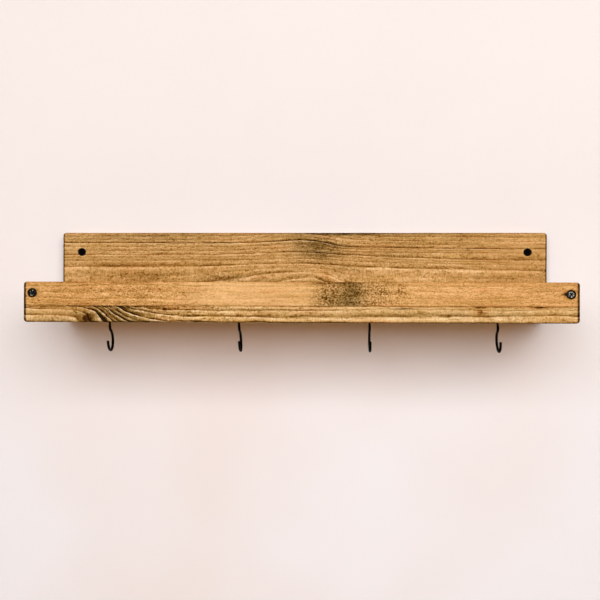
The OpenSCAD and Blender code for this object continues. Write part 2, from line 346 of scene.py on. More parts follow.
# Surface of a box on its grid lines: the lattice points with a first or last index, and the quads between
# them, wound so that they face outwards
def boxSurface(lines):
    counts = [len(line) for line in lines]
    quads = []
    for axis in range(3):
        u, v = (axis + 1) % 3, (axis + 2) % 3
        a, b = np.divmod(np.arange((counts[u] - 1) * (counts[v] - 1)), counts[v] - 1)
        for side in (0, counts[axis] - 1):
            corners = np.zeros((len(a), 4, 3), int)
            corners[:, :, axis] = side
            steps = ((0, 0), (1, 0), (1, 1), (0, 1)) if side else ((0, 0), (0, 1), (1, 1), (1, 0))
            for n, (du, dv) in enumerate(steps):
                corners[:, n, u] = a + du
                corners[:, n, v] = b + dv
            quads.append(corners)
    corners = np.concatenate(quads)
    keys = (corners[..., 0] * counts[1] + corners[..., 1]) * counts[2] + corners[..., 2]
    used, faces = np.unique(keys, return_inverse=True)
    index = (used // (counts[1] * counts[2]), used // counts[2] % counts[1], used % counts[2])
    points = np.column_stack([lines[n][index[n]] for n in range(3)])
    return points, faces.reshape(keys.shape)


# Rounds one long edge: in the square beside it each point keeps its larger offset from the arc's centre as
# its distance, so squares become circles
def roundEdge(points, box, axes, sides, radius, where=None):
    (a, b), (sideA, sideB) = axes, sides
    centreA = faceAt(box, a, sideA) - sideA * radius
    centreB = faceAt(box, b, sideB) - sideB * radius
    offA, offB = (points[:, a] - centreA) * sideA, (points[:, b] - centreB) * sideB
    inside = (offA > 1e-6) & (offB > 1e-6)
    if where is not None:
        inside &= where(points)
    offA, offB = offA[inside], offB[inside]
    scale = np.maximum(offA, offB) / np.hypot(offA, offB)
    points[inside, a] = centreA + sideA * offA * scale
    points[inside, b] = centreB + sideB * offB * scale


# Distances from a hole's centre along the two axes of its face, and from the face
def fromHole(points, box, hole):
    axis, side = hole["face"]
    offU, offV = [points[:, n] - centre for n, centre in zip(otherAxes(axis), hole["at"])]
    return offU, offV, abs(points[:, axis] - faceAt(box, axis, side))


# Sinks a hole into a face: squares of the grid round its centre become circles, which go in by the
# profile's depth at their radius
def sinkHole(points, box, hole):
    axis, side = hole["face"]
    u, v = otherAxes(axis)
    offU, offV, below = fromHole(points, box, hole)
    square, onFace = np.maximum(abs(offU), abs(offV)), below < 1e-6
    radii, depths = np.array(hole["profile"]).T
    rim, reach = radii[-1], holeGrid["reach"] * radii[-1]
    near = onFace & (square < reach) & (square > 1e-6)
    blend = 1 - smoothStep(square[near], rim + holeGrid["round"], reach)
    scale = 1 + blend * (square[near] / np.hypot(offU[near], offV[near]) - 1)
    points[near, u] = hole["at"][0] + offU[near] * scale
    points[near, v] = hole["at"][1] + offV[near] * scale
    sunk = onFace & (square < rim)
    points[sunk, axis] -= side * np.interp(square[sunk], radii, depths)


# Knots: their length against their height, how much they pull the rings in and how far, where their dark
# fades out, how deep it goes in mm, and how much of the rings is left out inside
knotLook = {"long": 1.7, "pull": 0.85, "pullReach": 1.6, "darkLong": 1.15, "darkEdge": (0.5, 1.15),
            "deep": 30, "calm": 0.75}


# Ring number at each point. It grows by as many rings as a drawn line says down to the next drawn line on
# the show face; away from that face the rings follow a parabola about the heart's side
def ringNumber(points, grain):
    x, y, z = points.T
    bow = grain["bow"] * ((y - grain["heartY"]) ** 2 - (grain["faceY"] - grain["heartY"]) ** 2)
    height = z + bow
    for atX, atZ, radius in grain["knots"]:
        away = np.hypot((x - atX) / knotLook["long"], z - atZ)
        pull = knotLook["pull"] * np.exp(-(away / (knotLook["pullReach"] * radius)) ** 2)
        height = atZ + (height - atZ) * (1 - pull)
    for cell, size in grain["waves"]:
        height = height + size * latticeNoise(points, (cell, cell / 3, cell / 3), int(cell))
    lines = [smoothCurve(line, x) for _, _, line in grain["lines"]]
    rings = [count for count, _, _ in grain["lines"]]
    step = grain["step"]
    number = np.minimum(0, (lines[0] - height) / step) + np.maximum(0, (lines[-1] - height) / step)
    for count, upper, lower in zip(rings, lines[:-1], lines[1:]):
        number += count * np.clip((upper - height) / (upper - lower), 0, 1)
    return number + 1


# How dark the line at the end of each ring is: a drawn line's own strength, and a weak one for those between
def ringStrengths(grain):
    weak = np.random.default_rng(5)
    strengths = []
    for count, strength, _ in grain["lines"]:
        strengths += [strength] + list(weak.uniform(0.15, 0.4, count - 1))
    return strengths


# Soft spots on a board's show face: 1 at the middle of each, falling off as exp(-(dx / wide)^2 -
# (dz / high)^2), where dz is measured from a line of the spot's slope, and fading out below the face alike
def softSpots(board, box, points, kind):
    x, z = points[:, 0], points[:, 2]
    below = points[:, board["showNormal"]] - faceAt(box, board["showNormal"], -1)
    total = np.zeros(len(points))
    for atX, atZ, wide, high, slope, strength in board[kind]:
        down = z - atZ - slope * (x - atX)
        total += strength * np.exp(-((x - atX) / wide) ** 2 - (down / high) ** 2)
    return total * np.exp(-(below / board["soak"]) ** 2)


# Shade round the rims of a board's holes, falling off as exp(-(distance / fade)^2): where it darkens, partly
# painted shade and partly pooled stain; where it is negative, paler wood
def rimShades(board, box, points, fade=0.55, reach=2.0):
    total = np.zeros(len(points))
    for hole in board["holes"]:
        offU, offV, below = fromHole(points, box, hole)
        away = np.hypot(offU, offV) - hole["profile"][-1][0]
        near = (below < hole["profile"][0][1] + 0.01) & (away < reach)
        total += np.where(near, hole["rimShade"] * np.exp(-(np.maximum(away, 0) / fade) ** 2), 0)
    return total


# 1 in the middle of a knot, fading out at its edge and below the face
def knotShares(knots, points, below):
    total = np.zeros(len(points))
    for atX, atZ, radius in knots:
        away = np.hypot((points[:, 0] - atX) / knotLook["darkLong"], points[:, 2] - atZ)
        total += 1 - smoothStep(away / radius, *knotLook["darkEdge"])
    return total * np.exp(-(below / knotLook["deep"]) ** 2)


# Grid lines of a board on its three axes, with room for its rounded edges, its holes and its fine grain
def boardLines(board, box):
    named = [[], [], []]
    for axes, sides, radius in board["edges"]:
        for axis, side in zip(axes, sides):
            named[axis].append(arcLines(faceAt(box, axis, side), side, radius))
    for hole in board["holes"]:
        for axis, centre in zip(otherAxes(hole["face"][0]), hole["at"]):
            named[axis].append(holeLines(centre, hole["profile"][-1][0]))
    for start, end, step in board["fine"]:
        named[0].append(np.arange(start, end, step))
    show = board["showAxis"]
    named[show].append(np.arange(box[0][show], box[1][show], board["showStep"]))
    return [gridLines(box[0][n], box[1][n], board["steps"][n], named[n]) for n in range(3)]


# Handling rounds arrises unevenly: points near a long edge move in by a noise that is never negative, of
# long and of short bites
def wearArrises(board, box, points):
    low, high = box
    wear, along = board["wear"], board["along"]
    gap = np.minimum(points - low, high - points)
    nearSide, nearTop = [1 - smoothStep(gap[:, n], 0.0, wear["reach"]) for n in (1 - along, 2)]
    place = points[:, [along, 1 - along, 2]]
    bite = np.maximum(0, latticeNoise(place, (19, 400, 400), wear["seed"])) ** 2
    bite += 0.6 * np.maximum(0, latticeNoise(place, (4.3, 400, 400), wear["seed"] + 1)) ** 3
    move = wear["depth"] * bite * nearSide * nearTop
    moved = points.copy()
    for n in (1 - along, 2):
        moved[:, n] -= np.sign(points[:, n] - (low[n] + high[n]) / 2) * move
    return moved


# Fibres drift sideways with height, and shares of a point's normal say what counts as end grain, as the
# show face and as its arris
boardLook = {"fibreTilt": 0.35, "endDark": 0.74, "endTurned": (0.18, 0.75), "shownForEnds": (0.02, 0.3),
             "arrisTurned": (0.25, 0.8), "shownForArris": (0.1, 0.6)}


# What a board's material reads: rings and fibres, then the shade (stain, knots and dark joints, with painted
# shade along some edges and round hole rims), dots, knots and warmth, then end grain, lightness (with a
# painted highlight on the lip's top arris) and contrast
def putGrain(board, box, piece, points):
    look, grain, along, face = boardLook, board["grain"], board["along"], board["showNormal"]
    mesh = piece.data
    normals = np.zeros(len(points) * 3)
    mesh.vertices.foreach_get("normal", normals)
    normals = normals.reshape(-1, 3)
    inGrain = points[:, [along, 1 - along, 2]]
    number = ringNumber(inGrain, grain)
    across = inGrain[:, 1] + look["fibreTilt"] * inGrain[:, 2]
    putAttribute(mesh, "ring", number)
    putAttribute(mesh, "fibre", inGrain[:, 0] + board["offset"], number * grain["step"], across)
    shade, stipple, warm, lift, contrast = [softSpots(board, box, points, kind)
                                            for kind in ("shade", "stipple", "warm", "lift", "contrast")]
    shade += rimShades(board, box, points)
    knot = knotShares(grain["knots"], points, inGrain[:, 1] - box[0][1 - along])
    putAttribute(mesh, "stain", shade, stipple, knot)
    putAttribute(mesh, "warmth", knot + warm)
    dark, start, stop = board["endBand"]
    fromEnd = np.minimum(points - box[0], box[1] - points)[:, along]
    shown = smoothStep(-normals[:, face], *look["shownForEnds"])
    band = dark * shown * (1 - smoothStep(fromEnd, start, stop))
    ends = np.maximum(look["endDark"] * smoothStep(abs(normals[:, along]), *look["endTurned"]), band)
    for axis, side, amount in board["arris"]:
        turned = smoothStep(side * normals[:, axis], *look["arrisTurned"])
        lift += amount * turned * smoothStep(-normals[:, face], *look["shownForArris"])
    contrast = (1 + contrast) * (1 - knotLook["calm"] * knot)
    putAttribute(mesh, "endsLiftAndHighlight", ends, lift, contrast)


# A board: box surface, sunk holes, rounded edges and worn arrises, with its grain on the points
def makeBoard(board, material):
    box = nodeBox(board["node"])
    points, faces = boxSurface(boardLines(board, box))
    for hole in board["holes"]:
        sinkHole(points, box, hole)
    for axes, sides, radius in board["edges"]:
        roundEdge(points, box, axes, sides, radius, board["where"].get((axes, sides)))
    points = wearArrises(board, box, points)
    piece = makePiece(board["node"] + "_wood", points, faces, material, board["node"])
    putGrain(board, box, piece, points)
    print(board["node"], "made:", len(faces), "quads")


# Axes and sides of a board's twelve edges, named as seen from the front
boardEdges = {
    "frontBottom": ((1, 2), (-1, -1)), "backBottom": ((1, 2), (1, -1)),
    "backTop": ((1, 2), (1, 1)), "frontTop": ((1, 2), (-1, 1)),
    "leftBottom": ((0, 2), (-1, -1)), "rightBottom": ((0, 2), (1, -1)),
    "rightTop": ((0, 2), (1, 1)), "leftTop": ((0, 2), (-1, 1)),
    "leftFront": ((0, 1), (-1, -1)), "rightFront": ((0, 1), (1, -1)),
    "rightBack": ((0, 1), (1, 1)), "leftBack": ((0, 1), (-1, 1)),
}
eased, corner, joint = 1.5, 3.8, 0.35  # radii of long edges, outer corners and edges that meet in a joint


# Axes, sides and radius of the edges named after each radius
def rounded(*named):
    return [(*boardEdges[name], radius) for radius, names in named for name in names.split()]


# Screws: thread and head across, then how deep the head sits in the wood, the radii of its mouth and of the
# shank's hole, and the shade round the rim: paler wood round the wall screws, and round the others a darker
# ring, partly painted shade of the gap round the head and partly stain pooled at the rim
screwKinds = {
    "wall": {"size": 5.0, "head": 9.4, "sink": 0.6, "mouth": 5.2, "shank": 2.6, "rimShade": -0.5},
    "lip": {"size": 4.2, "head": 8.6, "sink": 0.4, "mouth": 4.8, "shank": 2.2, "rimShade": 1.6},
    "join": {"size": 4.0, "head": 8.0, "sink": 0.3, "mouth": 4.5, "shank": 2.1, "rimShade": 1.6},
}
frontFace, backFace, bottomFace = (1, -1), (1, 1), (2, -1)
bothSides = ("left", "right")


# Countersunk mouth of a screw: a short straight wall, then a cone of 45 degrees to the shank's hole
def screwMouth(node, kind, face):
    look = screwKinds[kind]
    mouth, shank, wall = look["mouth"], look["shank"], look["sink"] + 0.05
    bottom = wall + mouth - shank
    profile = [(0, bottom), (shank, bottom), (mouth - holeGrid["wall"], wall), (mouth, 0)]
    at = nodeMiddle(node, otherAxes(face[0]))
    return {"face": face, "at": at, "rimShade": look["rimShade"], "profile": profile}


# Plain drilled mouth with slightly broken edges
def drilled(face, at, radius, depth):
    profile = [(0, depth), (radius - 0.25, depth), (radius, 0)]
    return {"face": face, "at": at, "rimShade": 1.6, "profile": profile}


# Hooks, with their places, lean and lengths from the CAD
hookLook = {
    "places": [-224.0, -72.7, 79.2, 226.6], "leansDeg": [2.3, 4, 1, 3], "y": -88.0, "z": -84.0,
    "wire": 1.5, "thread": 1.78, "core": 1.2, "pitch": 1.575, "bite": 14.0, "bare": 4.5, "shank": 7.4,
    "neckRadius": 4.0, "bowlRadius": 11.8, "pastLowDeg": 85, "tip": 0.8, "tipShare": 0.55, "point": 4.9,
}

# Boards. A ring line is drawn on the front from left to right: rings to the next line down, strength, and
# (x, z) places. A spot is x, z, half width, half height, slope and strength
plainBoard = {
    "along": 0, "showAxis": 2, "showNormal": 1, "where": {}, "holes": [], "fine": [], "arris": [],
    "shade": [], "stipple": [], "lift": [], "warm": [], "contrast": [],
}

backBoard = {
    **plainBoard, "node": "back_board", "slot": "back_pine", "offset": 0.0, "endBand": (0.95, 1.0, 2.3),
    "steps": (4.2, 3.4, 3.0), "showStep": 2.5, "soak": 12.0, "fine": [(-8, 62, 2.3)],
    "arris": [(2, 1, -0.20)], "wear": {"reach": 3.0, "depth": 0.35, "seed": 11},
    "edges": rounded((eased, "backBottom backTop frontTop"),
                     (corner, "leftBottom rightBottom rightTop leftTop"),
                     (eased, "leftFront rightFront rightBack leftBack")),
    # Its front corners are square below the lip's top, where the lip and shelf board meet it
    "where": {boardEdges[f"{side}Front"]: lambda points: points[:, 2] > -40.5 for side in bothSides},
    "holes": [screwMouth(f"wall_screw_{side}", "wall", frontFace) for side in bothSides]
    + [drilled(backFace, nodeMiddle(f"wall_screw_{side}", (0, 2)), 2.6, 2.0) for side in bothSides]
    + [screwMouth(f"board_screw_{n}", "join", backFace) for n in (1, 2, 3, 4)]
    + [screwMouth(f"rail_screw_{side}", "join", backFace) for side in bothSides],
    "grain": {
        "faceY": -18, "heartY": 60, "bow": 0.006, "step": 5.2, "knots": [], "waves": [(38, 0.5), (11, 0.22)],
        "lines": [
            (2, 0.4, [(-300, 19), (-90, 19.5), (-10, 23.5), (20, 21), (55, 16), (110, 14), (300, 12.5)]),
            (2, 1.3, [(-300, 11), (-90, 10.8), (-20, 13.4), (-2, 14.4), (14, 13.4), (34, 9.6), (52, 6.5),
                      (108, 5.1), (157, 4.2), (300, 3.0)]),
            (1, 0.5, [(-300, 1.4), (-90, 1.8), (-20, 4.6), (10, 4), (52, 0.4), (108, -0.6), (300, -1.6)]),
            (2, 0.75, [(-300, -3.8), (-90, -3.2), (-20, -0.6), (10, -0.8), (52, -3.6), (70, -4.2),
                       (108, -6.6), (169, -9), (300, -11)]),
            (1, 0.4, [(-300, -10.6), (-90, -9.8), (0, -8.4), (52, -10.8), (108, -13), (169, -14.6),
                      (300, -16)]),
            (2, 0.7, [(-300, -18.8), (-150, -18), (-90, -16.4), (-40, -14.6), (0, -14.4), (30, -16),
                      (62, -18.4), (108, -19.4), (169, -21), (300, -23.4)]),
            (1, 0.55, [(-300, -44), (-150, -41), (-90, -34), (-66, -30.5), (-50, -27.4), (-26, -25),
                       (4, -24.4), (22, -26), (34, -29.5), (50, -37), (80, -42), (300, -44)]),
            (1, 0.7, [(-300, -60), (-90, -50), (-30, -37), (-6, -33), (8, -32), (20, -34.5), (32, -40),
                      (60, -52), (300, -62)]),
        ],
    },
    "shade": [
        (16, 4.5, 27, 12, -0.12, 0.68), (30, 10.2, 26, 1.3, -0.15, 0.6), (110, 5.6, 90, 1.0, -0.015, 0.4),
        (46, 22.5, 46, 2.4, 0, 0.8), (105, 23.5, 150, 1.4, 0, 0.6), (-220, -15.8, 52, 2.4, 0.01, 0.62),
        (-85, -34, 44, 5, 0, 0.34), (-192, -33, 28, 6, 0, 0.26), (26, -38.5, 14, 2.2, 0, 0.5),
        # The first spot on this line is painted shadow: a dark band on the back board just above the lip's
        # top
        (0, -38.6, 900, 1.5, 0, 0.5), (-180, 20, 60, 5, 0, 0.3), (57, -21, 16, 3, -0.1, 0.3),
        (206, 1, 5, 2, -1, 0.6), (112, 0, 22, 12, 0, 0.18)],
    "stipple": [(-98, -29, 30, 7, 0, 0.16), (-196, -30, 36, 7, 0, 0.14), (22, 4, 22, 14, 0, 0.12)],
    "lift": [
        (-30, 0, 60, 18, 0, 0.03), (100, -31, 90, 8, 0, 0.02), (265, 10, 30, 20, 0, 0.045),
        (-285, 0, 16, 60, 0, 0.04), (-69, -33.4, 12, 2.2, 0.2, 0.30), (44, -34, 9, 2.0, -0.6, 0.26),
        (2, -35.4, 15, 1.7, 0, 0.28), (-170, -20.6, 120, 1.2, 0.006, 0.10),
        (170, -22.9, 130, 1.4, -0.02, 0.10)],
    "warm": [(265, 0, 50, 60, 0, 0.45), (-230, -34, 60, 8, 0, 0.3), (-215, -16, 70, 6, 0, 0.4),
             (115, 5.6, 70, 3, 0, 0.3)],
    "contrast": [(34, 8, 24, 12, -0.08, 0.45), (-230, -20, 90, 14, 0, -0.2), (255, 0, 50, 60, 0, -0.3)],
}

shelfBoard = {
    **plainBoard, "node": "shelf_board", "slot": "shelf_pine", "offset": 900.0, "endBand": (1.05, 2.0, 3.2),
    "steps": (3.2, 3.6, 1.5), "showStep": 0.9, "soak": 6.0, "fine": [(-262, -145, 1.3)],
    "wear": {"reach": 2.4, "depth": 0.28, "seed": 23},
    "edges": rounded((eased, "frontBottom"), (joint, "frontTop"), (corner, "leftBottom rightBottom"),
                     (joint, "leftTop rightTop"), (eased, "leftFront rightFront")),
    "holes": [screwMouth(f"base_screw_{side}", "join", bottomFace) for side in bothSides]
    + [drilled(bottomFace, (x, hookLook["y"]), 1.85, 2.2) for x in hookLook["places"]],
    "grain": {
        "faceY": -163, "heartY": -70, "bow": 0.0042, "step": 4.3, "knots": [(-231, -79.5, 4.2)],
        "waves": [(42, 0.6), (13, 1.0), (5, 0.4)],
        "lines": [
            (1, 0.4, [(-300, -46), (-172, -56), (-150, -62), (-118, -65.6), (0, -66.6), (300, -66.6)]),
            (1, 0.55, [(-300, -49), (-215, -55), (-196, -61), (-184.7, -66), (-167.5, -68.8), (-157, -70),
                       (-118, -71), (0, -70.4), (120, -69.4), (195, -70.6), (300, -70.2)]),
            (1, 0.8, [(-300, -52), (-230, -56), (-205, -61), (-191, -65.4), (-181, -68.6), (-174, -70.2),
                      (-164, -72.9), (-154, -75.1), (-118, -77.3), (0, -78.4), (150, -77), (300, -76.6)]),
            (2, 1.0, [(-300, -55), (-240, -58), (-220, -61.5), (-205.2, -65.8), (-197.6, -67.8),
                      (-191.2, -71.1), (-184.2, -73.9), (-177.4, -76.4), (-170.7, -78.4), (-164.2, -80.1),
                      (-152.4, -81.8), (-118, -83.4), (0, -84.8), (120, -85.6), (300, -86.2)]),
            (2, 1.0, [(-300, -58), (-250, -60.5), (-230, -63), (-217, -66.1), (-209.7, -68.9),
                      (-204.3, -72.9), (-197.6, -76.7), (-191.2, -80.1), (-184.7, -82.9), (-165, -89),
                      (-100, -92), (300, -92)]),
            (1, 1.0, [(-300, -61), (-260, -62), (-242, -63.3), (-234.7, -64.6), (-230, -65.8),
                      (-223.2, -67.8), (-216.5, -71.4), (-209.7, -76), (-205.7, -80.1), (-202, -83.5),
                      (-190, -91), (300, -100)]),
            (1, 1.0, [(-300, -65), (-262, -66), (-244, -67), (-236, -68.3), (-229.3, -71.1),
                      (-222.4, -73.6), (-219, -76.7), (-216, -80), (-211.7, -84), (-200, -94), (300, -110)]),
            (1, 0.6, [(-300, -69.8), (-262, -70.6), (-246, -71.8), (-238, -74), (-229, -80), (-222, -87),
                      (-200, -101), (300, -118)]),
            (1, 0.7, [(-300, -76.4), (-262, -77.2), (-246, -79), (-238, -83), (-228, -92), (-200, -108),
                      (300, -124)]),
            (1, 0.4, [(-300, -84), (-262, -85), (-246, -87), (-228, -100), (-200, -116), (300, -132)]),
        ],
    },
    "shade": [
        (-200, -75, 36, 14, 0, 0.58), (-214, -78.5, 5, 3.2, -0.95, 1.3), (-232, -79.6, 6.4, 4.6, 0, 0.5),
        (-222, -66.4, 34, 1.1, 0, 0.9), (-276, -66.8, 24, 1.5, 0, 0.8), (-268, -83, 30, 2.6, 0, 0.4),
        (190, -67, 90, 1.0, 0, 0.3), (-190, -67.2, 10, 1.8, -0.3, 0.4), (-165, -83.2, 40, 1.3, 0, 0.7),
        (-30, -77.4, 40, 2.0, 0, 0.5), (-35, -70.2, 70, 0.9, 0, 0.5), (160, -75.5, 130, 2.6, 0, 0.30),
        (194, -72, 4, 3, -0.6, 0.9), (257, -66.6, 9, 1.2, 0, 1.3), (193, -66.6, 5, 1.3, 0, 1.1),
        # The last spot on this line is painted shade along the bottom arris of the shelf's front edge
        (112, -68.6, 12, 0.9, 0, 1.0), (0, -66.3, 900, 0.7, 0, 0.45), (0, -84.2, 900, 1.1, 0, 1.0)],
    "lift": [
        (-200, -75, 42, 16, 0, -0.16), (-262, -75, 30, 16, 0, -0.05), (-110, -75, 60, 20, 0, -0.03),
        (60, -80.6, 260, 1.6, 0, 0.12), (200, -75, 90, 20, 0, 0.01), (-256, -70.5, 16, 2.4, 0, 0.08),
        (40, -68.2, 120, 0.9, 0, 0.10)],
    "warm": [(-45, -75, 40, 4, 0, 0.3), (-265, -69, 40, 3, 0, 0.5), (275, -80, 26, 5, 0, 0.5),
             (194, -70, 9, 6, 0, 0.8), (257, -66.6, 16, 3, 0, 0.8), (0, -66.4, 900, 1.1, 0, 0.5)],
    "contrast": [(-202, -75, 38, 20, 0, 1.35), (-110, -75, 50, 20, 0, 0.3), (150, -75, 180, 20, 0, -0.25),
                 (-262, -75, 20, 20, 0, -0.3)],
}

frontLip = {
    **plainBoard, "node": "front_lip", "slot": "lip_pine", "offset": 2100.0, "endBand": (1.05, 2.0, 3.2),
    "steps": (2.6, 3.0, 2.0), "showStep": 1.3, "soak": 12.0, "fine": [(8, 122, 1.5)],
    "arris": [(2, 1, -0.08)], "wear": {"reach": 2.6, "depth": 0.30, "seed": 37},
    "edges": rounded((eased, "backTop frontTop"), (joint, "frontBottom"), (corner, "rightTop leftTop"),
                     (joint, "leftBottom rightBottom"), (eased, "leftFront rightFront")),
    "holes": [screwMouth(f"lip_screw_{side}", "lip", frontFace) for side in bothSides],
    "grain": {
        "faceY": -163, "heartY": -120, "bow": 0.02, "step": 9.0, "knots": [],
        "waves": [(60, 1.1), (17, 0.35)],
        "lines": [
            (2, 0.5, [(-300, -36), (0, -34), (300, -37)]),
            (2, 0.6, [(-300, -45.5), (-150, -43.5), (0, -46), (150, -45), (300, -44)]),
            (2, 0.6, [(-300, -57), (-150, -60), (0, -57.5), (150, -59), (300, -56.5)]),
            (1, 0.5, [(-300, -69), (0, -70), (300, -68)]),
        ],
    },
    "shade": [
        (57, -52, 12, 30, 0, 0.58), (40, -61, 22, 12, 0, 0.46), (283.8, -52.6, 3.2, 1.2, 0.1, 1.7),
        (285.4, -52.9, 1.8, 2.2, 0, 1.2), (0, -65.6, 900, 0.7, 0, 0.4), (38, -41.6, 36, 1.4, 0, 0.9),
        (-178, -52, 16, 6, 0, 0.16), (-120, -55, 20, 8, 0, 0.12)],
    "stipple": [(54, -52, 15, 30, 0, 0.38), (29, -55, 13, 17, 0.3, 0.70), (83, -50, 18, 14, -0.1, 0.66),
                (110, -50, 6, 8, 0, 0.6), (84, -62.5, 40, 2.4, 0, 0.35), (-175, -50, 50, 40, 0, 0.14)],
    "lift": [(-60, -52, 95, 40, 0, 0.07), (-250, -52, 44, 40, 0, -0.06), (150, -50, 120, 14, 0, 0.02),
             # The spot at x -50 on this line is a painted highlight along the lip's top arris
             (20, -64.6, 40, 0.9, 0, 0.14), (-50, -42.6, 70, 1.5, 0, 0.08)],
    "warm": [(230, -52, 120, 60, 0, 0.5), (-240, -52, 90, 60, 0, 0.42), (0, -40.8, 900, 1.2, 0, 0.5),
             (74, -52, 42, 30, 0, -0.18)],
    "contrast": [(-40, -50, 90, 40, 0, -0.5), (190, -50, 100, 40, 0, -0.15), (-190, -50, 60, 40, 0, 0.35)],
}


# The rails aren't in the photograph: plain straight grain that runs from the lip to the back board
def sideRail(name, side):
    outer, inner = ("left", "right") if side < 0 else ("right", "left")
    return {
        **plainBoard, "node": f"side_rail_{name}", "slot": "rail_pine", "offset": 3300.0 + 400 * side,
        "along": 1, "showAxis": 1, "showNormal": 0, "steps": (1.6, 2.4, 1.6), "showStep": 2.0, "soak": 6.0,
        "endBand": (0, 1, 2), "wear": {"reach": 2.4, "depth": 0.25, "seed": 52 + side},
        "edges": rounded((eased, f"{inner}Top"), (corner, f"{outer}Top"),
                         (joint, f"{outer}Bottom {inner}Bottom")),
        "grain": {
            "faceY": side * 300, "heartY": side * 240, "bow": 0.006, "step": 4.6, "knots": [],
            "waves": [(36, 0.6), (12, 0.2)],
            "lines": [(1, strength, [(-145, z + 1.5 * side), (-80, z + 0.5), (-18, z - 1.5 * side)])
                      for z, strength in ((-40, 0.6), (-45, 0.8), (-51, 0.5), (-56, 0.9), (-62, 0.6))],
        },
    }


# Each board's lightness, strength of its ring lines, of its long fibres and of its speckle, and tint
woods = {
    "back_pine": (0.676, 1.02, 0.85, 0.95, "#f6fcff"), "shelf_pine": (0.765, 1.1, 0.8, 1.0, "#f2faff"),
    "lip_pine": (0.72, 0.4, 0.55, 0.95, "#feffff"), "rail_pine": (0.66, 0.8, 0.9, 0.9, "#ffffff"),
}


def dressBoards():
    materials = {}
    for board in (backBoard, shelfBoard, frontLip, sideRail("left", -1), sideRail("right", 1)):
        slot = board["slot"]
        if slot not in materials:
            materials[slot] = makePine(f"stained_{slot}", *woods[slot], ringStrengths(board["grain"]))
        makeBoard(board, materials[slot])


dressBoards()
print("boards dressed")


# Metals. Each is one principled surface with fine noise in its colour and roughness
metalLooks = {
    # Steel wire under black enamel: deep black, a soft satin shine, rubbed brown-grey where things hang
    "black_enamelled_wire": {"base": "#040303", "worn": "#15100c", "metallic": 0.0, "grainMm": 0.7,
                             "roughness": (0.40, 0.58), "wornFrom": 0.64, "bumpMm": 0.02, "shine": 0.03},
    # Black oxide on steel: dull black with a faint blue cast
    "black_oxide_steel": {"base": "#030303", "worn": "#0c0d0e", "metallic": 0.0, "grainMm": 0.6,
                          "roughness": (0.50, 0.70), "wornFrom": 0.62, "bumpMm": 0.02, "shine": 0.02},
    # Blackened steel rubbed back to grey by the driver: dark, with pale smears on the high spots
    "rubbed_steel": {"base": "#0a0908", "worn": "#8f8e84", "metallic": 0.6, "grainMm": 1.5,
                     "roughness": (0.38, 0.60), "wornFrom": 0.50, "bumpMm": 0.03, "shine": 0.08},
    # Bright zinc plate: pale bluish grey with a soft sparkle
    "zinc_plated_steel": {"base": "#b7bbc0", "worn": "#8d9299", "metallic": 1.0, "grainMm": 0.9,
                          "roughness": (0.24, 0.40), "wornFrom": 0.55, "bumpMm": 0.01, "shine": 0.5},
}
recessShadeLook = {"colour": "#0b0a09", "share": 0.85}  # painted shade in a screw's recess and on its head's rim


def makeMetal(name):
    look = metalLooks[name]
    material, add = newMaterial(name)
    place = add("TexCoord").outputs["Object"]
    scale = 1 / (look["grainMm"] * mm)
    patches = add("TexNoise", {"Vector": place, "Scale": scale, "Detail": 3.0})
    fine = add("TexNoise", {"Vector": place, "Scale": 5 * scale, "Detail": 2.0})
    worn = add("MapRange", {"Value": patches, **limits(look["wornFrom"], look["wornFrom"] + 0.14)})
    # Painted shade: points in a screw's recess and on its head's rim turn dark and keep no wear
    recessShadeMask = add("Attribute", attribute_name="recessShadeMask").outputs["Fac"]
    clear = add("Math", {0: 1.0, 1: recessShadeMask}, operation="SUBTRACT", use_clamp=True)
    worn = add("Math", {0: worn, 1: clear}, operation="MULTIPLY")
    recessShade = add("Math", {0: recessShadeMask, 1: recessShadeLook["share"]}, operation="MULTIPLY")
    colour = linear(look["base"])
    for share, code in ((worn, look["worn"]), (recessShade, recessShadeLook["colour"])):
        mixed = add("Mix", {mixFactor: share, mixA: colour, mixB: linear(code)}, data_type="RGBA")
        colour = mixed.outputs[mixResult]
    rough = add("MapRange", {"Value": fine, **limits(0.3, 0.7, *look["roughness"])})
    bump = add("Bump", {"Strength": 0.5, "Distance": look["bumpMm"] * mm, "Height": fine})
    shader = add("BsdfPrincipled", {"Base Color": colour, "Roughness": rough, "Normal": bump,
                                    "Metallic": look["metallic"], "Specular IOR Level": look["shine"]})
    add("OutputMaterial", {0: shader})
    return material


# Faces of a surface on rows of equally many points, closed round and with a pole point before and after
def roundFaces(rows, columns):
    row, column = np.divmod(np.arange((rows - 1) * columns), columns)
    after = (column + 1) % columns
    quads = np.column_stack([row * columns + column, row * columns + after,
                             (row + 1) * columns + after, (row + 1) * columns + column]) + 1
    around = np.arange(columns)
    start = np.column_stack([np.zeros(columns, int), 1 + (around + 1) % columns, 1 + around])
    last = 1 + (rows - 1) * columns
    end = np.column_stack([last + around, last + (around + 1) % columns, np.full(columns, last + columns)])
    return quads.tolist() + start.tolist() + end.tolist()


# Thread ridge: how far its foot goes into the core in mm, the turns over which it runs in and out, half the
# width of its foot and of its flat crest as shares of the pitch, and the share of the foot left at its ends
ridgeLook = {"sunk": 0.14, "runIn": 0.9, "runOut": 1.2, "foot": 0.36, "crest": 0.07, "thin": 0.35}


